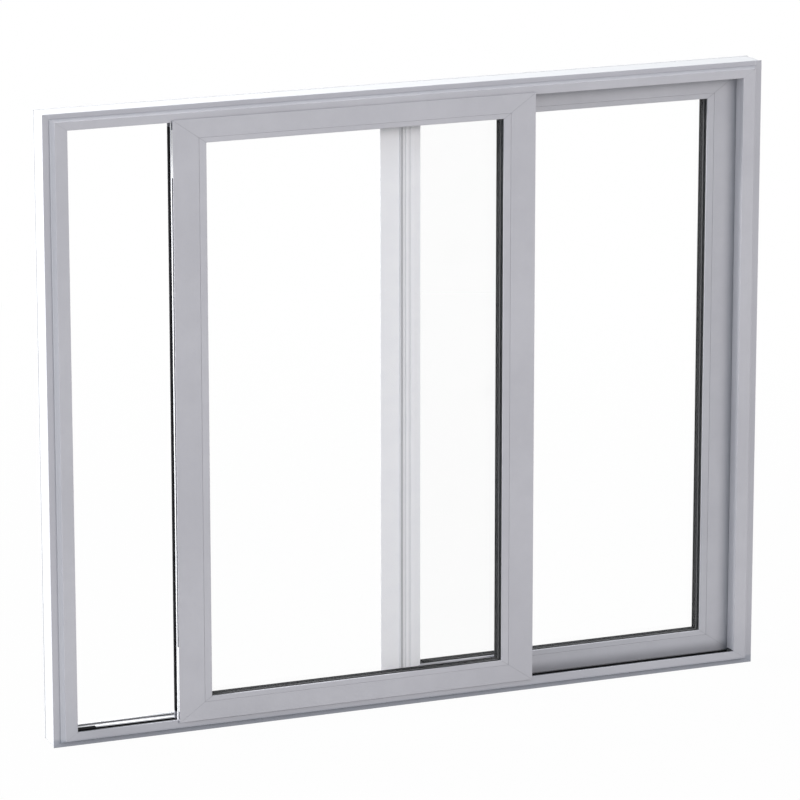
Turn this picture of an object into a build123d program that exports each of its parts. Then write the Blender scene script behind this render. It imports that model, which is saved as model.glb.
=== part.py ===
from build123d import *
import os

# Two-sash aluminium sliding window, in millimetres.
# X runs along the width, Y into the depth (the side with the cover flange faces -Y) and Z up.
# The origin is the middle of the sill's underside, where the frame stands in its wall opening.
# Sections are drawn with their first axis from the outer edge inwards and their second axis
# from the front to the back, as seen on head, sill and rails. Jambs and stiles have the same
# sections drawn wider, so that every line of the face meets on the mitre.

# Outer frame
overall_width = 1500.0
overall_height = 1254.0
frame_depth = 78.0
head_face = 31.0
jamb_face = 45.5
wall = 2.0
cover_reach = 1.4
cover_setback = 13.0
cover_thickness = 2.5
cover_band = 9.5
step_band = 6.0
step_riser = 3.5
step_round = 2.5
lip_wall = 2.2
lip_round = 1.0
floor_rise = 14.6
track_pitch = 39.0
middle_wall_width = 7.0
middle_wall_drop = 5.5
rear_wall_drop = 7.0
rail_width = 3.0
rail_height = 9.5
fixing_groove_start = 54.0
fixing_groove_end = 74.0
fixing_groove_depth = 0.6
filler_gap = 0.3
filler_clearance = 1.0

# Sashes
sash_rail_face = 47.8
sash_stile_face = 67.5
sash_depth = 34.0
sash_proud = 5.0
sash_lap = 5.0
meeting_lap = 82.0
sash_opening = 213.0
sash_wall = 2.0
face_wall = 2.5
edge_round = 1.2
lip_groove_width = 10.5
lip_groove_depth = 10.0
edge_box_width = 7.0
edge_box_inset = 1.0
hardware_groove_width = 11.5
hardware_groove_depth = 12.0
rebate_depth = 15.0
rear_leg_drop = 1.4

# How far past the faces' inner edges the mitre cuts run, as a share of the face
mitre_reach = 1.2

# Glazing
bead_face = 10.4
bead_thickness = 3.0
bead_root = 4.5
bead_round = 1.2
bead_seam = 0.3
gasket_thickness = 3.0
gasket_bite = 8.0
stile_gasket_stand = 1.0
rail_gasket_stand = 0.3
stile_spacer_stand = 3.0
rail_spacer_stand = 0.3
rail_rear_gasket_drop = 0.7
pane_thickness = 4.0
cavity = 16.0
glass_bite = 12.0
spacer_height = 12.0

# Running gear and seals
roller_radius = 5.8
roller_width = 5.0
roller_inset = 110.0
carrier_drop = 1.75
carrier_length = 70.0
carrier_clearance = 0.5
wheel_clearance = 0.3
guide_length = 45.0
guide_wall = 3.0
guide_gap = 1.0
guide_reach = 3.0
pile_width = 4.0
pile_height = 3.0
wall_pile_drop = 0.3
middle_pile_reach = 5.0
rear_pile_reach = 4.0
closing_seal_stand = 1.0
closing_seal_inset = 18.0
edge_block_length_top = 94.0
edge_block_length_bottom = 132.0
edge_block_inset = 20.0
edge_block_recess = 1.5

# Interlocks on the meeting stiles
front_overhang = 13.0
back_overhang = 17.5
interlock_band = 41.5
interlock_slot = 6.0
interlock_wall = 1.8
interlock_web = 0.8
rib_widths = (3.0, 5.5, 6.5)
rib_spacings = (3.0, 5.0)
hook_wall = 1.2
hook_clearance = 0.8

cover_back = cover_setback + cover_thickness
face_y = -(cover_back + frame_depth) / 2
middle_z = overall_height / 2 - cover_reach
sash_height = overall_height - 2 * head_face + 2 * sash_lap
sash_width = (overall_width - 2 * jamb_face + 2 * sash_lap + meeting_lap) / 2
sash_travel_x = overall_width / 2 - jamb_face + sash_lap - sash_width / 2
front_x = -sash_travel_x + sash_opening
back_x = sash_travel_x
front_y = face_y - sash_proud
back_y = front_y + track_pitch
sash_foot = middle_z - sash_height / 2
frame_stretch = jamb_face / head_face
sash_stretch = sash_stile_face / sash_rail_face
track_floor = cover_reach + floor_rise
middle_wall_top = head_face - middle_wall_drop
rear_wall_top = head_face - rear_wall_drop
rail_top = track_floor + rail_height
rear_cover_top = rail_top + filler_gap + wall / frame_stretch
hardware_groove_start = face_wall + lip_groove_width + edge_box_width
rail_centre = hardware_groove_start + hardware_groove_width / 2 - sash_proud
glass_front = bead_thickness + gasket_thickness
glass_back = glass_front + 2 * pane_thickness + cavity
glass_edge = sash_rail_face - glass_bite

# Corners of a section are looked for within this distance
near = 0.1


def bar(across, start, end, front, back):
    """A straight wall of a section: from start to end across the face, from front to back in depth."""
    width = (end - start) * across
    return Pos((start + end) / 2 * across, (front + back) / 2) * Rectangle(width, back - front)


def corners(face, x_from, x_to, y_from, y_to):
    """The corners of a section inside a small window."""
    inside = face.vertices().filter_by_position(Axis.X, x_from - near, x_to + near)
    return inside.filter_by_position(Axis.Y, y_from - near, y_to + near)


def outer_wall(across):
    """Outer wall with the shallow groove that takes the fixing straps."""
    seat = cover_reach + fixing_groove_depth
    front = bar(across, cover_reach, cover_reach + wall, cover_setback, fixing_groove_start + wall)
    sunk = bar(across, seat, seat + wall, fixing_groove_start, fixing_groove_end)
    rear = bar(across, cover_reach, seat + wall, fixing_groove_end, frame_depth)
    trim = bar(across, cover_reach, seat, fixing_groove_start, fixing_groove_end)
    return front + sunk + rear - trim


def frame_section(across):
    """Head and sill section; across widens it for the jambs."""
    foot = cover_band * across
    brow = (cover_band + step_band) * across
    lip = head_face * across
    riser_top = cover_setback - step_riser
    nose = make_face(Polyline(
        (foot, cover_back), (foot, riser_top), (brow, 0), (lip, 0), (lip, lip_wall),
        (brow, lip_wall), (foot + wall * across, riser_top + wall),
        (foot + wall * across, cover_back), (foot, cover_back)))
    nose = fillet(corners(nose, foot, brow, 0, riser_top), step_round)
    nose = fillet(corners(nose, lip, lip, 0, 0), lip_round)
    cover = bar(across, 0, cover_band + wall, cover_setback, cover_back)
    cover = fillet(corners(cover, 0, 0, cover_setback, cover_setback), lip_round)
    lip_root = bar(across, cover_band + step_band, head_face - lip_wall, 0, lip_wall)
    floor = bar(across, track_floor - wall, track_floor, 0, frame_depth)
    front_web = bar(across, cover_reach, track_floor, cover_back - wall, cover_back)
    rear = bar(across, cover_reach, rear_wall_top, frame_depth - wall, frame_depth)
    section = nose + cover + outer_wall(across) + lip_root + floor + front_web
    section = section + middle_wall(across) + rear
    for centre in (rail_centre, rail_centre + track_pitch):
        section += bar(across, track_floor - wall, rail_top, centre - rail_width / 2, centre + rail_width / 2)
    return section


def middle_wall(across):
    """The hollow wall between the two tracks, with the web that carries it on the outer wall."""
    start = track_pitch
    end = start + middle_wall_width
    box = bar(across, track_floor - wall, middle_wall_top, start, end)
    hollow = bar(across, track_floor, middle_wall_top - wall, start + wall, end - wall)
    web = bar(across, cover_reach, track_floor, start, start + wall)
    return box - hollow + web


def sash_section(across):
    """Section of a sash rail without its glazing bead; across widens it for the stiles."""
    rebate = sash_rail_face - rebate_depth
    shoulder = sash_rail_face - bead_face
    chamber = hardware_groove_depth + sash_wall
    box_front = face_wall + lip_groove_width
    box_back = box_front + edge_box_width
    face = bar(across, 0, shoulder - bead_seam, 0, face_wall)
    face = fillet(corners(face, 0, 0, 0, 0), edge_round)
    lip_floor = bar(across, lip_groove_depth, lip_groove_depth + sash_wall, face_wall, box_back)
    edge_box = bar(across, edge_box_inset, chamber, box_front, box_back)
    edge_hollow = bar(across, edge_box_inset + sash_wall, lip_groove_depth,
                      box_front + sash_wall, box_back - sash_wall)
    groove_floor = bar(across, hardware_groove_depth, chamber, box_back - sash_wall, sash_depth)
    rear = bar(across, 0, sash_rail_face - rear_leg_drop, sash_depth - sash_wall, sash_depth)
    rebate_floor = bar(across, rebate - sash_wall, rebate, 0, sash_depth)
    return face + lip_floor + edge_box - edge_hollow + groove_floor + rear + rebate_floor


def bead_section(across):
    """Clip-in glazing bead with a rounded sight edge."""
    seen = sash_rail_face - bead_face
    sight = sash_rail_face * across
    body = bar(across, seen, sash_rail_face, 0, bead_thickness)
    body = fillet(corners(body, sight, sight, 0, 0), bead_round)
    return body + bar(across, seen - bead_root, seen, face_wall, bead_thickness)


def member(section, side, width, height, middle, face_x, face_z, depth_start):
    """One mitred side of a rectangular ring of the given outer size and face widths."""
    sign = 1 if side in ("right", "top") else -1
    half_w = width / 2
    half_h = height / 2
    in_x = half_w - face_x * mitre_reach
    in_z = half_h - face_z * mitre_reach
    if side in ("left", "right"):
        edge = Vector(sign * half_w, 0, 0)
        inward = Vector(-sign, 0, 0)
        length = height
        outline = [(sign * half_w, -half_h), (sign * half_w, half_h)]
        outline += [(sign * in_x, in_z), (sign * in_x, -in_z)]
    else:
        edge = Vector(0, 0, sign * half_h)
        inward = Vector(0, 0, -sign)
        length = width
        outline = [(-half_w, sign * half_h), (half_w, sign * half_h)]
        outline += [(in_x, sign * in_z), (-in_x, sign * in_z)]
    plane = Plane(origin=edge, x_dir=inward, z_dir=inward.cross(Vector(0, 1, 0)))
    profile = extrude(plane * section, length / 2, both=True)
    cut = make_face(Polyline(*outline, outline[0]))
    wedge = extrude(Plane.XZ.offset(frame_depth) * cut, -3 * frame_depth)
    return Pos(middle[0], depth_start, middle[1]) * (profile & wedge)


def frame_member(section, side):
    """A mitred side of the outer frame, or of anything that follows it."""
    return member(section, side, overall_width, overall_height, (0, middle_z),
                  jamb_face, head_face, face_y)


def track_filler(side, start, end, inner):
    """Channel-shaped cover that closes the unused end of a track on one jamb."""
    top = bar(frame_stretch, inner - wall / frame_stretch, inner, start, end)
    legs = bar(frame_stretch, track_floor, inner, start, start + wall)
    legs += bar(frame_stretch, track_floor, inner, end - wall, end)
    rim = (top + legs).vertices().sort_by(Axis.X)[-2:]
    return frame_member(fillet(rim, lip_round), side)


def wall_piles():
    """Black pile seals along the front of the middle wall and of the rear wall, at head and sill."""
    piles = []
    for side in ("top", "bottom"):
        for top, back, reach in ((middle_wall_top, track_pitch, middle_pile_reach),
                                 (rear_wall_top, frame_depth - wall, rear_pile_reach)):
            end = top - wall_pile_drop
            strip = bar(1.0, track_floor, end, back - reach, back)
            strip = member(strip, side, overall_width - 2 * jamb_face, overall_height, (0, middle_z),
                           0, head_face, face_y)
            piles.append(strip.solid())
    return Compound(children=piles)


def glazing_ring(centre_x, start_y, outer, inner_x, inner_z, front, back):
    """A flat rectangular ring round the glass, from one inset of the sash to another."""
    outside = Rectangle(sash_width - 2 * outer * sash_stretch, sash_height - 2 * outer)
    inside = Rectangle(sash_width - 2 * inner_x, sash_height - 2 * inner_z)
    ring = extrude(Plane.XZ.offset(-front) * (outside - inside), -(back - front))
    return Pos(centre_x, start_y, middle_z) * ring


def running_gear(centre_x, start_y):
    """Roller carriers under a sash and guide shoes above it, in the grooves that ride on the rails."""
    groove_y = start_y + hardware_groove_start + hardware_groove_width / 2
    carrier_width = hardware_groove_width - 2 * carrier_clearance
    axle_z = rail_top - cover_reach + wheel_clearance + roller_radius
    block_foot = axle_z - carrier_drop
    block_height = sash_foot + hardware_groove_depth - block_foot
    slot_width = rail_width + 2 * guide_gap
    shoe_height = hardware_groove_depth + guide_reach
    slot_depth = shoe_height - guide_wall
    shoe = Box(guide_length, carrier_width, shoe_height)
    slot = Pos(0, 0, shoe_height / 2) * Box(guide_length, slot_width, 2 * slot_depth)
    shoe_z = sash_foot + sash_height - hardware_groove_depth + shoe_height / 2
    rollers = []
    guides = []
    for end in (-1, 1):
        x = centre_x + end * (sash_width / 2 - roller_inset)
        block = Pos(x, groove_y, block_foot + block_height / 2)
        block *= Box(carrier_length, carrier_width, block_height)
        wheel = Pos(x, groove_y, axle_z) * Rot(90, 0, 0) * Cylinder(roller_radius, roller_width)
        rollers.append((block + wheel).solid())
        guides.append((Pos(x, groove_y, shoe_z) * (shoe - slot)).solid())
    return Compound(children=rollers), Compound(children=guides)


def rail_piles(centre_x, start_y):
    """Pile seals on the floors of the lip grooves of the top and bottom rails."""
    pile_y = start_y + face_wall + lip_groove_width / 2
    pile_length = sash_width - 2 * sash_stile_face
    rise = sash_height / 2 - lip_groove_depth + pile_height / 2
    piles = []
    for end in (-1, 1):
        strip = Pos(centre_x, pile_y, middle_z + end * rise) * Box(pile_length, pile_width, pile_height)
        piles.append(strip.solid())
    return Compound(children=piles)


def sash_parts(name, centre_x, start_y):
    """All pieces of one sash, keyed by node name."""
    parts = {}
    labels = {"top": "top_rail", "bottom": "bottom_rail", "left": "left_stile", "right": "right_stile"}
    for side, label in labels.items():
        across = sash_stretch if side in ("left", "right") else 1.0
        place = (sash_width, sash_height, (centre_x, middle_z), sash_stile_face, sash_rail_face, start_y)
        parts[f"{name}_{label}"] = member(sash_section(across), side, *place)
        parts[f"{name}_glazing_bead_{side}"] = member(bead_section(across), side, *place)

    seal_start = sash_rail_face - gasket_bite
    spacer_x = sash_stile_face + stile_spacer_stand
    rings = {
        "front_gasket": (seal_start, sash_stile_face + stile_gasket_stand,
                         sash_rail_face + rail_gasket_stand, bead_thickness, glass_front),
        "rear_gasket": (seal_start, spacer_x, sash_rail_face - rail_rear_gasket_drop,
                        glass_back, sash_depth - sash_wall),
        "spacer": (sash_rail_face - spacer_height, spacer_x, sash_rail_face + rail_spacer_stand,
                   glass_front + pane_thickness, glass_back - pane_thickness),
    }
    for label, sizes in rings.items():
        parts[f"{name}_{label}"] = glazing_ring(centre_x, start_y, *sizes)

    pane_width = sash_width - 2 * glass_edge * sash_stretch
    pane_height = sash_height - 2 * glass_edge
    for label, front in (("outer_pane", glass_front), ("inner_pane", glass_back - pane_thickness)):
        pane = Box(pane_width, pane_thickness, pane_height)
        parts[f"{name}_{label}"] = Pos(centre_x, start_y + front + pane_thickness / 2, middle_z) * pane

    parts[f"{name}_rollers"], parts[f"{name}_guides"] = running_gear(centre_x, start_y)
    parts[f"{name}_pile_seals"] = rail_piles(centre_x, start_y)
    return parts


def closing_seal(edge_x, inward, start_y):
    """Black strip that fills the hardware groove of a stile on its closing side."""
    depth = hardware_groove_depth * sash_stretch + closing_seal_stand
    width = hardware_groove_width - 2 * carrier_clearance
    length = sash_height - 2 * closing_seal_inset
    x = edge_x + inward * (depth / 2 - closing_seal_stand)
    y = start_y + hardware_groove_start + hardware_groove_width / 2
    return Pos(x, y, middle_z) * Box(depth, width, length)


def interlock(tip, outward, plate_y, depth_sign, ribbed):
    """Interlock profile on a meeting stile: a flat band past the edge, a hook, and fine ribs beside it."""
    gap = track_pitch - sash_depth
    height = sash_height - 2 * lip_groove_depth
    hook_depth = gap - interlock_wall - hook_clearance

    def upright(start, width, depth, foot):
        x = tip - outward * (start + width / 2)
        return Pos(x, plate_y + depth_sign * (foot + depth / 2), middle_z) * Box(width, depth, height)

    profile = upright(0, interlock_band, interlock_wall, 0)
    profile += upright(interlock_band - hook_wall, hook_wall, hook_depth, interlock_wall)
    if ribbed:
        start = interlock_band + interlock_slot
        reach = start + sum(rib_widths) + sum(rib_spacings)
        profile += upright(interlock_band, reach - interlock_band, interlock_web, 0)
        for width, spacing in zip(rib_widths, rib_spacings + (0,)):
            profile += upright(start, width, interlock_wall, 0)
            start += width + spacing
    return profile


def edge_blocks():
    """Plastic blocks in the lip groove of the front sash's open edge."""
    depth = lip_groove_depth * sash_stretch - edge_block_recess
    x = front_x - sash_width / 2 + edge_block_recess + depth / 2
    y = front_y + face_wall + lip_groove_width / 2
    blocks = []
    for end, length in ((-1, edge_block_length_bottom), (1, edge_block_length_top)):
        z = middle_z + end * (sash_height / 2 - edge_block_inset - length / 2)
        block = Pos(x, y, z) * Box(depth, lip_groove_width - 2 * carrier_clearance, length)
        blocks.append(block.solid())
    return Compound(children=blocks)


def build_parts():
    half = sash_width / 2
    level = frame_section(1.0)
    upright = frame_section(frame_stretch)
    parts = {
        "frame_sill": frame_member(level, "bottom"),
        "frame_head": frame_member(level, "top"),
        "frame_left_jamb": frame_member(upright, "left"),
        "frame_right_jamb": frame_member(upright, "right"),
        "frame_pile_seals": wall_piles(),
        "front_track_filler": track_filler("right", lip_wall + filler_gap,
                                           track_pitch - sash_proud - filler_clearance, head_face),
        "rear_track_filler": track_filler("left", track_pitch + middle_wall_width + filler_gap,
                                          frame_depth - wall - filler_gap, rear_cover_top),
    }
    parts.update(sash_parts("front_sash", front_x, front_y))
    parts.update(sash_parts("back_sash", back_x, back_y))
    parts["front_sash_closing_seal"] = closing_seal(front_x - half, 1, front_y)
    parts["back_sash_closing_seal"] = closing_seal(back_x + half, -1, back_y)
    front_tip = front_x + half + front_overhang
    back_tip = back_x - half - back_overhang
    parts["front_sash_interlock"] = interlock(front_tip, 1, front_y + sash_depth, 1, False)
    parts["back_sash_interlock"] = interlock(back_tip, -1, back_y, -1, True)
    parts["front_sash_edge_blocks"] = edge_blocks()
    return parts


os.makedirs("parts", exist_ok=True)
for node, shape in build_parts().items():
    shape.label = node
    export_step(shape, f"parts/{node}.step")
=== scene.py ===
import math
import bmesh
import bpy
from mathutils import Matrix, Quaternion, Vector


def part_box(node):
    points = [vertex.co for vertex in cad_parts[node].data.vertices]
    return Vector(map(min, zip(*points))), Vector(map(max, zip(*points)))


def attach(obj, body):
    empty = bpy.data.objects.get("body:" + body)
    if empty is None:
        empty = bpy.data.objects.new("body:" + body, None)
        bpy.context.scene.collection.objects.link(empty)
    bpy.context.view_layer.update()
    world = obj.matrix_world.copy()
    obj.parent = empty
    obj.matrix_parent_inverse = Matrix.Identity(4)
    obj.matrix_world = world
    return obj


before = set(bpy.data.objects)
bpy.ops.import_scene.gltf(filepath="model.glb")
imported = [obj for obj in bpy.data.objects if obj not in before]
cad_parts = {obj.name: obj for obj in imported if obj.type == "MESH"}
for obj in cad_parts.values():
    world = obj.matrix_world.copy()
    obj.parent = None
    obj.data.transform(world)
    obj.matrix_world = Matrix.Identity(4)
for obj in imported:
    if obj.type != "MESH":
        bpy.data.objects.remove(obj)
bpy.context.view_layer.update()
scene = bpy.context.scene
scene.view_settings.view_transform = "Standard"


# The viewpoint: the window seen from its left and a little above, from far away through a long lens.
# Turn, tilt, lean, standoff and aim are the fitted standpoint, in radians and metres.
turn = math.radians(21.680)
tilt = math.radians(14.587)
lean = math.radians(0.033)
standoff = 9.6703
long_lens = 221.69
aim = Vector((-0.030427, -0.04675, 0.632500))
looking = Vector((math.sin(turn) * math.cos(tilt), math.cos(turn) * math.cos(tilt), -math.sin(tilt)))
camera = bpy.data.objects.new("camera", bpy.data.cameras.new("camera"))
camera.data.lens = long_lens
camera.data.sensor_width = 36.0
camera.data.clip_end = 200.0
camera.location = aim - looking * standoff
camera.rotation_mode = "QUATERNION"
camera.rotation_quaternion = looking.to_track_quat("-Z", "Y") @ Quaternion((0, 0, 1), -lean)
scene.collection.objects.link(camera)
scene.camera = camera


# How finishes are mixed: a Tone is one value or colour inside a finish, and sums on it read as sums.
# A Finish is the whole recipe, and its one method puts in one ingredient with its settings.
class Tone:
    def __init__(self, finish, socket):
        self.finish = finish
        self.socket = socket

    def worked(self, operation, first, second=None):
        values = {0: first} if second is None else {0: first, 1: second}
        return self.finish.add("ShaderNodeMath", values, operation=operation)

    def __add__(self, other):
        return self.worked("ADD", self, other)

    def __radd__(self, other):
        return self.worked("ADD", other, self)

    def __sub__(self, other):
        return self.worked("SUBTRACT", self, other)

    def __rsub__(self, other):
        return self.worked("SUBTRACT", other, self)

    def __mul__(self, other):
        return self.worked("MULTIPLY", self, other)

    def __rmul__(self, other):
        return self.worked("MULTIPLY", other, self)

    def __truediv__(self, other):
        return self.worked("DIVIDE", self, other)

    def __abs__(self):
        return self.worked("ABSOLUTE", self)

    def at_most(self, other):
        return self.worked("MINIMUM", self, other)

    def at_least(self, other):
        return self.worked("MAXIMUM", self, other)

    def eased(self, start, end, low=0.0, high=1.0):
        values = {"Value": self, "From Min": start, "From Max": end, "To Min": low, "To Max": high}
        return self.finish.add("ShaderNodeMapRange", values, interpolation_type="SMOOTHSTEP")


class Finish:
    def __init__(self, tree):
        tree.nodes.clear()
        self.tree = tree

    def add(self, kind, values=None, output=0, **settings):
        node = self.tree.nodes.new(kind)
        for name, setting in settings.items():
            setattr(node, name, setting)
        for name, value in (values or {}).items():
            socket = node.inputs[name]
            if isinstance(value, Tone):
                self.tree.links.new(value.socket, socket)
            else:
                socket.default_value = value
        return Tone(self, node.outputs[output]) if len(node.outputs) else None

    def mixed(self, share, first, second):
        values = {0: share, 6: first, 7: second}
        return self.add("ShaderNodeMix", values, output=2, data_type="RGBA")

    def cloud(self, place, scale, detail=2.0, roughness=0.5):
        values = {"Vector": place, "Scale": scale, "Detail": detail, "Roughness": roughness}
        return self.add("ShaderNodeTexNoise", values)

    def raised(self, height, distance, strength=1.0, under=None):
        values = {"Height": height, "Distance": distance, "Strength": strength}
        if under is not None:
            values["Normal"] = under
        return self.add("ShaderNodeBump", values)


def new_finish(name):
    material = bpy.data.materials.new(name)
    material.use_nodes = True
    return material, Finish(material.node_tree)


# The studio: a pale floor that runs out to white, a white surround, and three soft round lamps, one
# high behind the left, one broad in front and one low at the left. Only what the camera, gloss and
# glass meet turns white, so the object's own light stays plain.
floor_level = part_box("frame_sill")[0].z
floor_reach = 26.0
floor_white = 0.985
sweep_start = 1.3
sweep_end = 3.6
room_level = 0.44
room_tint = (0.78, 0.91, 1.0, 1.0)
floor_paint = (0.30, 0.30, 0.30, 1)
studio_white = (1, 1, 1, 1)
lamp_aim = Vector((0, 0, 0.6))


def seen_white(finish):
    path = finish.add("ShaderNodeLightPath")
    outputs = path.socket.node.outputs
    camera_ray = Tone(finish, outputs["Is Camera Ray"])
    glossy_ray = Tone(finish, outputs["Is Glossy Ray"])
    glass_ray = Tone(finish, outputs["Is Transmission Ray"])
    return camera_ray.at_least(glossy_ray).at_least(glass_ray)


slab = bmesh.new()
bmesh.ops.create_circle(slab, cap_ends=True, segments=96, radius=floor_reach)
bmesh.ops.translate(slab, verts=slab.verts, vec=(0, 0, floor_level))
floor_mesh = bpy.data.meshes.new("floor")
slab.to_mesh(floor_mesh)
slab.free()
floor = bpy.data.objects.new("floor", floor_mesh)
scene.collection.objects.link(floor)
paint, recipe = new_finish("floor_paint")
lit = recipe.add("ShaderNodeBsdfDiffuse", {"Color": floor_paint})
bright = recipe.add("ShaderNodeEmission", {"Color": studio_white, "Strength": 1.0})
place = recipe.add("ShaderNodeTexCoord", output="Object")
away = recipe.add("ShaderNodeVectorMath", {0: place}, output="Value", operation="LENGTH")
share = seen_white(recipe) * away.eased(sweep_start, sweep_end, floor_white, 1.0)
both = recipe.add("ShaderNodeMixShader", {0: share, 1: lit, 2: bright})
recipe.add("ShaderNodeOutputMaterial", {"Surface": both})
floor_mesh.materials.append(paint)

world = bpy.data.worlds.new("surround")
scene.world = world
world.use_nodes = True
recipe = Finish(world.node_tree)
share = seen_white(recipe)
room = recipe.add("ShaderNodeBackground", {"Color": room_tint, "Strength": room_level})
white = recipe.add("ShaderNodeBackground", {"Color": studio_white, "Strength": 1.0})
both = recipe.add("ShaderNodeMixShader", {0: share, 1: room, 2: white})
recipe.add("ShaderNodeOutputWorld", {"Surface": both})


def hang_lamp(name, towards, distance, width, power, tint):
    lamp = bpy.data.objects.new(name, bpy.data.lights.new(name, "AREA"))
    lamp.data.shape = "DISK"
    lamp.data.size = width
    lamp.data.energy = power
    lamp.data.color = tint
    direction = Vector(towards).normalized()
    lamp.location = lamp_aim + direction * distance
    lamp.rotation_mode = "QUATERNION"
    lamp.rotation_quaternion = (-direction).to_track_quat("-Z", "Y")
    lamp.visible_camera = False
    lamp.visible_glossy = False
    lamp.visible_transmission = False
    scene.collection.objects.link(lamp)


hang_lamp("upper_left_lamp", (-0.62, 0.45, 0.64), 7.0, 4.0, 800.0, (1.0, 0.99, 0.98))
hang_lamp("front_lamp", (0.44, -1.0, 0.38), 12.0, 7.5, 890.0, (1.0, 0.948, 0.920))
hang_lamp("left_lamp", (-1.0, -0.14, 0.10), 8.0, 3.0, 262.0, (0.98, 0.985, 1.0))


# The powder coat on every profile: satin light grey, baked on, so it has a very fine orange peel
# and next to no shine. Dust settles along the mitre joints, where the saw cut shows as a hairline.
coat_grey = (0.470, 0.464, 0.500, 1)
coat_pale = (0.515, 0.509, 0.545, 1)
cut_grey = (0.250, 0.250, 0.275, 1)
hairline = 0.0009
dust_reach = 0.011
drift_scale, film_scale, speck_scale, peel_scale = 3.1, 26.0, 1900.0, 620.0
peel_height = 0.00005
edge_ease = 0.0004


class Ring:
    """Four mitred sides as they stand, for the lines where their cuts meet."""

    def __init__(self, upright, level, opposite_upright, opposite_level):
        boxes = [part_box(node) for node in (upright, level, opposite_upright, opposite_level)]
        low = Vector([min(b[0][i] for b in boxes) for i in range(3)])
        high = Vector([max(b[1][i] for b in boxes) for i in range(3)])
        self.centre = (low + high) / 2
        self.half = (high - low) / 2
        self.upright_face = boxes[0][1].x - boxes[0][0].x
        self.level_face = boxes[1][1].z - boxes[1][0].z


def off_the_mitre(finish, place, ring):
    """How far a point lies from the nearest of the ring's four mitre cuts."""
    split = finish.add("ShaderNodeSeparateXYZ", {0: place})
    across = Tone(finish, split.socket.node.outputs[0])
    up = Tone(finish, split.socket.node.outputs[2])
    in_x = (ring.half.x - abs(across - ring.centre.x)) / ring.upright_face
    in_z = (ring.half.z - abs(up - ring.centre.z)) / ring.level_face
    slope = math.hypot(1 / ring.upright_face, 1 / ring.level_face)
    return abs(in_x - in_z) / slope


def powder_coat(name, ring, shift, painted_shading=None, coats=(coat_grey, coat_pale), cut_shade=0.28):
    """Satin coat for one ring of profiles; the recipe after shift paints light and shade onto the coat,
    and cut_shade says how clearly its mitre cuts show."""
    material, finish = new_finish(name)
    spot = finish.add("ShaderNodeTexCoord", output="Object")
    place = finish.add("ShaderNodeMapping", {"Vector": spot, "Location": shift})
    drift = finish.cloud(place, drift_scale, 3.0)
    film = finish.cloud(place, film_scale, 4.0, 0.6)
    speck = finish.cloud(place, speck_scale, 1.0)
    peel = finish.cloud(place, peel_scale, 2.0)
    tone = (drift * 0.55 + film * 0.30 + speck * 0.15).eased(0.36, 0.66)
    colour = finish.mixed(tone, *coats)
    if painted_shading:
        colour = painted_shading(finish, spot, film, colour)
    joint = off_the_mitre(finish, spot, ring)
    cut = 1 - joint.eased(hairline * 0.35, hairline)
    dust_and_shade = (1 - joint.eased(0.0, dust_reach)) * film.eased(0.35, 0.75)
    colour = finish.mixed(dust_and_shade * (cut_shade * 0.25), colour, cut_grey)
    colour = finish.mixed(cut * cut_shade, colour, cut_grey)
    roughness = 0.44 + film * 0.12 + cut * 0.2
    ease = finish.raised(cut * -1.0, 0.0004, 0.6)
    skin = finish.raised(peel, peel_height, 0.35, under=ease)
    values = {"Base Color": colour, "Roughness": roughness, "Normal": skin, "Specular IOR Level": 0.42}
    body = finish.add("ShaderNodeBsdfPrincipled", values)
    finish.add("ShaderNodeOutputMaterial", {"Surface": body})
    return material


same_corner = 0.00002
sharp_edge = math.radians(40)


def wear_finish(node, material, ease=0.0):
    """Gives a carried-over solid its finish, and breaks its extruded edges very slightly."""
    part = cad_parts[node]
    part.data.materials.clear()
    part.data.materials.append(material)
    if ease and not part.modifiers:
        weld = part.modifiers.new("joined", "WELD")
        weld.merge_threshold = same_corner
        bevel = part.modifiers.new("eased_edges", "BEVEL")
        bevel.width = ease
        bevel.segments = 2
        bevel.profile = 0.5
        bevel.limit_method = "ANGLE"
        bevel.angle_limit = sharp_edge
        bevel.use_clamp_overlap = True
        bevel.harden_normals = True


# The outer frame: head, sill and two jambs cut from one extruded section, mitred and pinned
# together on corner cleats. Two clip-in channels close the unused ends of the tracks.
frame_ring = Ring("frame_left_jamb", "frame_head", "frame_right_jamb", "frame_sill")
flange_shade = (0.330, 0.335, 0.370, 1)
sill_shade = (0.240, 0.262, 0.310, 1)
rail_black = (0.040, 0.040, 0.044, 1)
riser_light = (0.560, 0.560, 0.590, 1)
outer_light = (0.620, 0.620, 0.635, 1)
track_light = (0.840, 0.840, 0.855, 1)
frame_face_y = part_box("frame_sill")[0].y
frame_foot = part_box("frame_sill")[0].z

# Where each mark begins and ends: depths behind the face, heights over the foot, and distances in
# from the outer sides.
flange_span = (0.001, 0.012)
flange_back = (0.0152, 0.0156)
jamb_riser = 0.0139
riser_edge = (0.0006, 0.0010)
riser_depth = (0.003, 0.004)
foot_fade = (0.020, 0.110)
step_height = (0.0125, 0.0185)
track_front = (0.0300, 0.0310)
track_rear = (0.0772, 0.0778)
track_floor = (0.0120, 0.0130)
track_top = (0.030, 0.034)
rail_middles = (0.02075, 0.05975)
rail_side = (0.0017, 0.0022)
rail_dark_from = (0.0226, 0.0232)
rail_top = (0.0262, 0.0268)
outer_skin = (0.0036, 0.0040)


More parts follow.
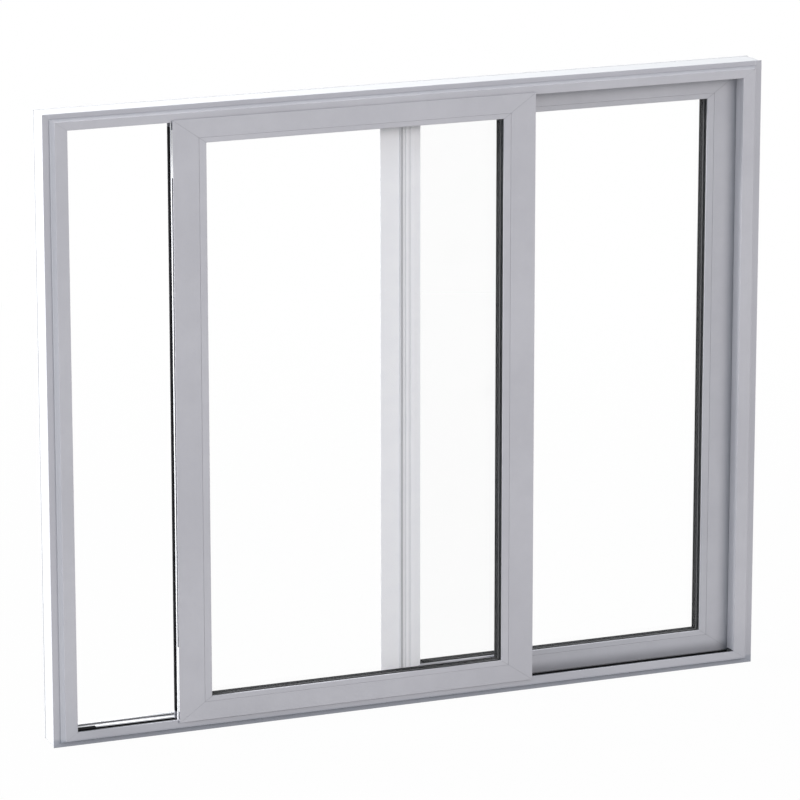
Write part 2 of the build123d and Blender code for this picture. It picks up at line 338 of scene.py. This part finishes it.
def frame_light_and_shade(finish, spot, film, colour):
    """Painted shade on the flange and the sill's step, painted light on the jamb risers, the outer sides
    and in the tracks; darker towards the foot, and the rails near black along their upper part.
    """
    axes = finish.add("ShaderNodeSeparateXYZ", {0: spot}).socket.node.outputs
    depth = Tone(finish, axes[1]) - frame_face_y
    height = Tone(finish, axes[2]) - frame_foot
    from_side = frame_ring.half.x - abs(Tone(finish, axes[0]) - frame_ring.centre.x)
    from_end = frame_ring.half.z - abs(Tone(finish, axes[2]) - frame_ring.centre.z)
    patchy = 0.75 + film * 0.5
    behind_flange = depth.eased(*flange_back)
    on_flange = depth.eased(*flange_span) * (1 - behind_flange)
    # Painted shade on the set-back flange.
    colour = finish.mixed(on_flange * patchy * 0.22, colour, flange_shade)
    # Painted light on the jamb risers, which lie in the flange's shade.
    on_riser = (1 - abs(from_side - jamb_riser).eased(*riser_edge)) * depth.eased(*riser_depth)
    colour = finish.mixed(on_riser * (1 - behind_flange) * 0.6, colour, riser_light)
    # A little darker towards the foot.
    near_foot = (1 - height.eased(*foot_fade)) * patchy
    colour = finish.mixed(near_foot * 0.16, colour, sill_shade)
    # Painted shade on the sill's down-facing step.
    step = 1 - height.eased(*step_height)
    colour = finish.mixed(step * patchy * 0.56, colour, sill_shade)
    # Painted light inside the sill's tracks.
    in_sill = depth.eased(*track_front) * (1 - depth.eased(*track_rear)) * height.eased(*track_floor)
    colour = finish.mixed(in_sill * (1 - height.eased(*track_top)) * 0.95, colour, track_light)
    # The rails near black along their upper part.
    rail_band = from_end.eased(*rail_dark_from) * (1 - from_end.eased(*rail_top))
    for middle in rail_middles:
        on_rail = 1 - abs(depth - middle).eased(*rail_side)
        colour = finish.mixed(on_rail * rail_band * 0.95, colour, rail_black)
    # Painted light on the outer sides behind the flange.
    outside = 1 - from_side.at_most(from_end).eased(*outer_skin)
    return finish.mixed(behind_flange * outside, colour, outer_light)


frame_coat = powder_coat("frame_powder_coat", frame_ring, (0.0, 0.0, 0.0), frame_light_and_shade, cut_shade=0.10)
for node in ("frame_sill", "frame_head", "frame_left_jamb", "frame_right_jamb",
             "front_track_filler", "rear_track_filler"):
    wear_finish(node, frame_coat, edge_ease)


# The two sashes: each four mitred extrusions round a double-glazed unit, with clip-in beads whose
# seam shows as a fine line, and an interlock strip on the stile where the sashes meet.
sash_ease = 0.0002
shaded_grey = (0.425, 0.424, 0.458, 1)
shaded_pale = (0.468, 0.467, 0.500, 1)
rim_highlight = (0.890, 0.890, 0.915, 1)
groove_shade = (0.110, 0.110, 0.120, 1)
rail_foot_shade = (0.120, 0.122, 0.136, 1)
rim_depth = (0.0132, 0.0136)
rim_back = (0.0198, 0.0204)
rim_width = (0.003, 0.004)
groove_front = (0.0026, 0.0032)
groove_back = (0.0130, 0.0134)
groove_mouth = (0.0002, 0.001)
groove_end = (0.017, 0.018)
shade_reach = (0.003, 0.028)


def front_sash_light_and_shade(finish, spot, film, colour):
    """Painted shade in the groove of the open edge, beside a painted highlight on the rim of its inner
    wall.
    """
    axes = finish.add("ShaderNodeSeparateXYZ", {0: spot}).socket.node.outputs
    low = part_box("front_sash_left_stile")[0]
    inside = Tone(finish, axes[0]) - low.x
    depth = Tone(finish, axes[1]) - low.y
    rim = depth.eased(*rim_depth) * (1 - depth.eased(*rim_back)) * (1 - inside.eased(*rim_width))
    groove = depth.eased(*groove_front) * (1 - depth.eased(*groove_back))
    groove = groove * inside.eased(*groove_mouth) * (1 - inside.eased(*groove_end))
    # Painted shade in the groove.
    colour = finish.mixed(groove * 0.80, colour, groove_shade)
    # Painted highlight on the rim.
    return finish.mixed(rim, colour, rim_highlight)


def back_sash_painted_shade(finish, spot, film, colour):
    """Painted shade over the foot of the bottom rail, where it stands in the track."""
    axes = finish.add("ShaderNodeSeparateXYZ", {0: spot}).socket.node.outputs
    above = Tone(finish, axes[2]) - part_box("back_sash_bottom_rail")[0].z
    # Painted shade towards the rail's foot.
    low_shade = (1 - above.eased(*shade_reach)) * (0.75 + film * 0.5)
    return finish.mixed(low_shade * 0.52, colour, rail_foot_shade)


sash_kinds = {
    "front_sash": (front_sash_light_and_shade, (coat_grey, coat_pale)),
    "back_sash": (back_sash_painted_shade, (shaded_grey, shaded_pale)),
}
for number, (sash, (painted_shading, coats)) in enumerate(sash_kinds.items()):
    ring = Ring(f"{sash}_left_stile", f"{sash}_top_rail", f"{sash}_right_stile", f"{sash}_bottom_rail")
    sash_coat = powder_coat(f"{sash}_powder_coat", ring, (3.0 + number, 0.0, 1.0), painted_shading, coats)
    bead_coat = powder_coat(f"{sash}_bead_coat", ring, (6.0 + number, 2.0, 0.0), None, coats)
    for side in ("top_rail", "bottom_rail", "left_stile", "right_stile"):
        wear_finish(f"{sash}_{side}", sash_coat, sash_ease)
    for side in ("top", "bottom", "left", "right"):
        wear_finish(f"{sash}_glazing_bead_{side}", bead_coat, sash_ease)


# The interlocks on the meeting stiles: ribbed strips that stand between the sashes. They and the back
# sash's glazing bead on that stile are painted much paler as painted light, with painted shade in the slot
# and valleys.
lit_pale = (0.830, 0.830, 0.865, 1)
lit_palest = (0.850, 0.850, 0.878, 1)
strip_shade = (0.340, 0.340, 0.365, 1)
band_width = 0.0415
slot_end = 0.0475
slot_shade = 0.75
valleys = ((0.0505, 0.0535, 0.30), (0.0590, 0.0640, 0.24))
strip_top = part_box("back_sash_interlock")[1].z
head_shadow = (strip_top - 0.160, strip_top - 0.005)


def painted_light_strip(name, start, toward):
    """Strip painted pale as painted light, with painted shade in its slot and valleys, which lie at fixed
    distances from its free edge, and painted shadow of the head over its top end."""
    material, finish = new_finish(name)
    place = finish.add("ShaderNodeTexCoord", output="Object")
    across = finish.add("ShaderNodeSeparateXYZ", {0: place})
    inside = (across - start) * toward
    film = finish.cloud(place, 30.0, 4.0, 0.6)
    peel = finish.cloud(place, peel_scale, 2.0)
    height = Tone(finish, across.socket.node.outputs[2])
    # Painted pale all over: painted light.
    colour = finish.mixed(film.eased(0.35, 0.65), lit_pale, lit_palest)
    # Painted shadow of the head over the top end of the strip.
    under_head = height.eased(*head_shadow)
    colour = finish.mixed(under_head * 0.24, colour, strip_shade)
    # Painted shade in the slot and the valleys.
    for begin, end, shade in ((band_width, slot_end, slot_shade),) + valleys:
        dust_and_shade = inside.eased(begin - 0.0006, begin + 0.0010) * (1 - inside.eased(end - 0.0012, end + 0.0006))
        colour = finish.mixed(dust_and_shade * shade, colour, strip_shade)
    skin = finish.raised(peel, peel_height, 0.35)
    values = {"Base Color": colour, "Roughness": 0.42 + film * 0.12, "Normal": skin}
    body = finish.add("ShaderNodeBsdfPrincipled", values)
    finish.add("ShaderNodeOutputMaterial", {"Surface": body})
    return material


front_strip_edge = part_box("front_sash_interlock")[1].x
back_strip_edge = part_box("back_sash_interlock")[0].x
front_skin = painted_light_strip("front_interlock_painted_light", front_strip_edge, -1.0)
back_skin = painted_light_strip("back_interlock_painted_light", back_strip_edge, 1.0)
wear_finish("front_sash_interlock", front_skin, edge_ease)
wear_finish("back_sash_interlock", back_skin, edge_ease)
wear_finish("back_sash_glazing_bead_left", back_skin, edge_ease)


# The glazing gaskets: extruded black rubber lips pressed in between glass and profile. They have a
# dull skin with fine lengthwise die lines and a little chalking.
rubber_black = (0.020, 0.020, 0.022, 1)
rubber_chalk = (0.045, 0.045, 0.048, 1)
lip_ease = 0.0006


def gasket_rubber():
    material, finish = new_finish("gasket_rubber")
    place = finish.add("ShaderNodeTexCoord", output="Object")
    chalk = finish.cloud(place, 60.0, 3.0).eased(0.45, 0.75)
    grain = finish.cloud(place, 3000.0, 1.0)
    colour = finish.mixed(chalk, rubber_black, rubber_chalk)
    skin = finish.raised(grain, 0.00004, 0.5)
    values = {"Base Color": colour, "Roughness": 0.55 + grain * 0.15, "Normal": skin}
    body = finish.add("ShaderNodeBsdfPrincipled", values)
    finish.add("ShaderNodeOutputMaterial", {"Surface": body})
    return material


rubber = gasket_rubber()
for sash in ("front_sash", "back_sash"):
    wear_finish(f"{sash}_front_gasket", rubber, lip_ease)
    wear_finish(f"{sash}_rear_gasket", rubber, lip_ease)


# The spacer bars inside the glazing units: dark anodised aluminium, rolled into a hollow bar that
# keeps the panes apart, sealed in black and brushed lengthwise by its rolls.
bar_black = (0.012, 0.012, 0.013, 1)
bar_haze = (0.024, 0.024, 0.026, 1)
bar_metal = (0.105, 0.105, 0.108, 1)
bare_edge = (0.0014, 0.0034)


def spacer_metal(name, front):
    """Dark bar whose outer edge, next to the outer pane, shows a paler line of bare metal."""
    material, finish = new_finish(name)
    place = finish.add("ShaderNodeTexCoord", output="Object")
    haze = finish.cloud(place, 90.0, 2.0)
    brushed = finish.cloud(finish.add("ShaderNodeMapping", {"Vector": place, "Scale": (30, 900, 30)}), 1.0)
    depth = Tone(finish, finish.add("ShaderNodeSeparateXYZ", {0: place}).socket.node.outputs[1])
    front_edge = 1 - (depth - front).eased(*bare_edge)
    colour = finish.mixed(haze, bar_black, bar_haze)
    colour = finish.mixed(front_edge, colour, bar_metal)
    skin = finish.raised(brushed, 0.00003, 0.4)
    values = {"Base Color": colour, "Roughness": 0.60 + haze * 0.15, "Normal": skin}
    values["Specular IOR Level"] = 0.06
    body = finish.add("ShaderNodeBsdfPrincipled", values)
    finish.add("ShaderNodeOutputMaterial", {"Surface": body})
    return material


for sash in ("front_sash", "back_sash"):
    bar_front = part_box(f"{sash}_spacer")[0].y
    wear_finish(f"{sash}_spacer", spacer_metal(f"{sash}_spacer_metal", bar_front))


# The panes: two sheets of clear float glass to each unit, with a coating that keeps mirroring low.
# Each surface returns a little of the room, more at a flat angle, and lets the rest straight through.
glass_tint = (0.97, 1.0, 0.985, 1)
head_on_mirroring = 0.0085


def coated_glass():
    material, finish = new_finish("coated_float_glass")
    place = finish.add("ShaderNodeTexCoord", output="Object")
    wave = finish.cloud(place, 2.4, 1.0)
    film = finish.cloud(place, 14.0, 4.0, 0.6)
    skin = finish.raised(wave, 0.00006, 0.25)
    slant = finish.add("ShaderNodeLayerWeight", {"Blend": 0.5, "Normal": skin}, output="Facing")
    steep = slant * slant
    mirrored = head_on_mirroring + (1.0 - head_on_mirroring) * (steep * steep * slant)
    values = {"Base Color": glass_tint, "Metallic": 1.0, "Normal": skin}
    values["Roughness"] = 0.01 + film.eased(0.45, 0.80) * 0.03
    outputs = finish.add("ShaderNodeLightPath").socket.node.outputs
    shadow_ray = Tone(finish, outputs["Is Shadow Ray"])
    soft_ray = shadow_ray.at_least(Tone(finish, outputs["Is Diffuse Ray"]))
    values["Alpha"] = (mirrored + film.eased(0.50, 0.85) * 0.006) * (1 - soft_ray)
    sheet = finish.add("ShaderNodeBsdfPrincipled", values)
    finish.add("ShaderNodeOutputMaterial", {"Surface": sheet})
    return material


glass = coated_glass()
for sash in ("front_sash", "back_sash"):
    wear_finish(f"{sash}_outer_pane", glass)
    wear_finish(f"{sash}_inner_pane", glass)


# The running gear: roller carriers of dark nylon under the sashes, nylon guide shoes above them,
# grey woven pile seals along the rails, and white plastic blocks pushed into the open edge.
nylon_ease = 0.0005
block_ease = 0.0006


def moulded(name, deep, pale, roughness, grain_size, gloss=0.5):
    material, finish = new_finish(name)
    place = finish.add("ShaderNodeTexCoord", output="Object")
    flow = finish.cloud(place, 45.0, 3.0)
    grain = finish.cloud(place, grain_size, 1.0)
    colour = finish.mixed(flow.eased(0.35, 0.65), deep, pale)
    skin = finish.raised(grain, 0.00006, 0.5)
    values = {"Base Color": colour, "Roughness": roughness + flow * 0.12, "Normal": skin}
    values["Specular IOR Level"] = gloss
    body = finish.add("ShaderNodeBsdfPrincipled", values)
    finish.add("ShaderNodeOutputMaterial", {"Surface": body})
    return material


nylon = moulded("dark_nylon", (0.030, 0.030, 0.032, 1), (0.050, 0.050, 0.052, 1), 0.42, 1500.0)
white_plastic = moulded("white_plastic", (0.74, 0.74, 0.73, 1), (0.80, 0.80, 0.79, 1), 0.38, 1500.0)
pile = moulded("grey_pile", (0.075, 0.075, 0.078, 1), (0.16, 0.16, 0.165, 1), 0.85, 5200.0)
for sash in ("front_sash", "back_sash"):
    wear_finish(f"{sash}_rollers", nylon, nylon_ease)
    wear_finish(f"{sash}_guides", nylon, nylon_ease)
    wear_finish(f"{sash}_pile_seals", pile)
wear_finish("front_sash_edge_blocks", white_plastic, block_ease)


# Black seals: woven pile in the tracks beside the sashes, its tips dusty where they face up and painted
# near white in the rear track as painted light, and soft black rubber strips along the edges that close
# against the jambs.
pile_black = (0.003, 0.003, 0.004, 1)
pile_soft = (0.009, 0.009, 0.010, 1)
pile_dusty = (0.280, 0.280, 0.290, 1)
rear_pile_light = (0.880, 0.880, 0.890, 1)
dusty_height = (0.0249, 0.0251)
above_sill = (0.030, 0.031)
rear_track = (0.060, 0.061)
seal_ease = 0.0005


def track_pile():
    material, finish = new_finish("black_track_pile")
    place = finish.add("ShaderNodeTexCoord", output="Object")
    axes = finish.add("ShaderNodeSeparateXYZ", {0: place}).socket.node.outputs
    above = Tone(finish, axes[2]) - frame_foot
    depth = Tone(finish, axes[1]) - frame_face_y
    strands = finish.cloud(place, 5200.0, 1.0)
    tips = above.eased(*dusty_height) * (1 - above.eased(*above_sill))
    colour = finish.mixed(strands, pile_black, pile_soft)
    colour = finish.mixed(tips * (0.7 + strands * 0.4), colour, pile_dusty)
    # Painted light: near white in the rear track.
    colour = finish.mixed(depth.eased(*rear_track), colour, rear_pile_light)
    skin = finish.raised(strands, 0.00008, 0.6)
    values = {"Base Color": colour, "Roughness": 0.95, "Normal": skin, "Specular IOR Level": 0.05}
    body = finish.add("ShaderNodeBsdfPrincipled", values)
    finish.add("ShaderNodeOutputMaterial", {"Surface": body})
    return material


wear_finish("frame_pile_seals", track_pile())
seal_black, seal_worn = (0.004, 0.004, 0.005, 1), (0.010, 0.010, 0.011, 1)
seal_rubber = moulded("soft_black_rubber", seal_black, seal_worn, 0.80, 3000.0, 0.08)
for sash in ("front_sash", "back_sash"):
    wear_finish(f"{sash}_closing_seal", seal_rubber, seal_ease)


# A black block in the front track, between rail and middle wall next to the left jamb: painted shadow,
# a dark thing put where the jamb's shadow falls. Its upper edges are rounded.
shadow_block_length = 0.0470
shadow_block_front = 0.0240
shadow_block_back = 0.0389
shadow_block_foot = 0.0160
shadow_block_top = 0.0277
shadow_block_round = 0.0008
shadow_block_recess = 0.0006
shadow_block_border = 0.0020
shadow_black = moulded("shadow_black", (0.004, 0.004, 0.005, 1), (0.009, 0.009, 0.010, 1), 0.70, 1500.0, 0.08)


def shadow_block():
    jamb_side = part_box("frame_left_jamb")[1].x
    low = Vector((jamb_side, frame_face_y + shadow_block_front, frame_foot + shadow_block_foot))
    high = Vector((jamb_side + shadow_block_length, frame_face_y + shadow_block_back, frame_foot + shadow_block_top))
    block = bmesh.new()
    bmesh.ops.create_cube(block, size=1.0)
    bmesh.ops.scale(block, verts=block.verts, vec=high - low)
    bmesh.ops.translate(block, verts=block.verts, vec=(low + high) / 2)
    upper = [edge for edge in block.edges if min(v.co.z for v in edge.verts) > low.z + 0.001]
    bmesh.ops.bevel(block, geom=upper, offset=shadow_block_round, offset_type="OFFSET", affect="EDGES",
                    segments=3, profile=0.5, material=-1)
    free_end = [face for face in block.faces if face.normal.x > 0.9]
    bmesh.ops.inset_region(block, faces=free_end, thickness=shadow_block_border, depth=-shadow_block_recess,
                           use_even_offset=True)
    bmesh.ops.recalc_face_normals(block, faces=block.faces)
    mesh = bpy.data.meshes.new("front_track_shadow_block")
    block.to_mesh(mesh)
    block.free()
    dark_block = bpy.data.objects.new("front_track_shadow_block", mesh)
    scene.collection.objects.link(dark_block)
    mesh.materials.append(shadow_black)
    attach(dark_block, "root")


shadow_block()
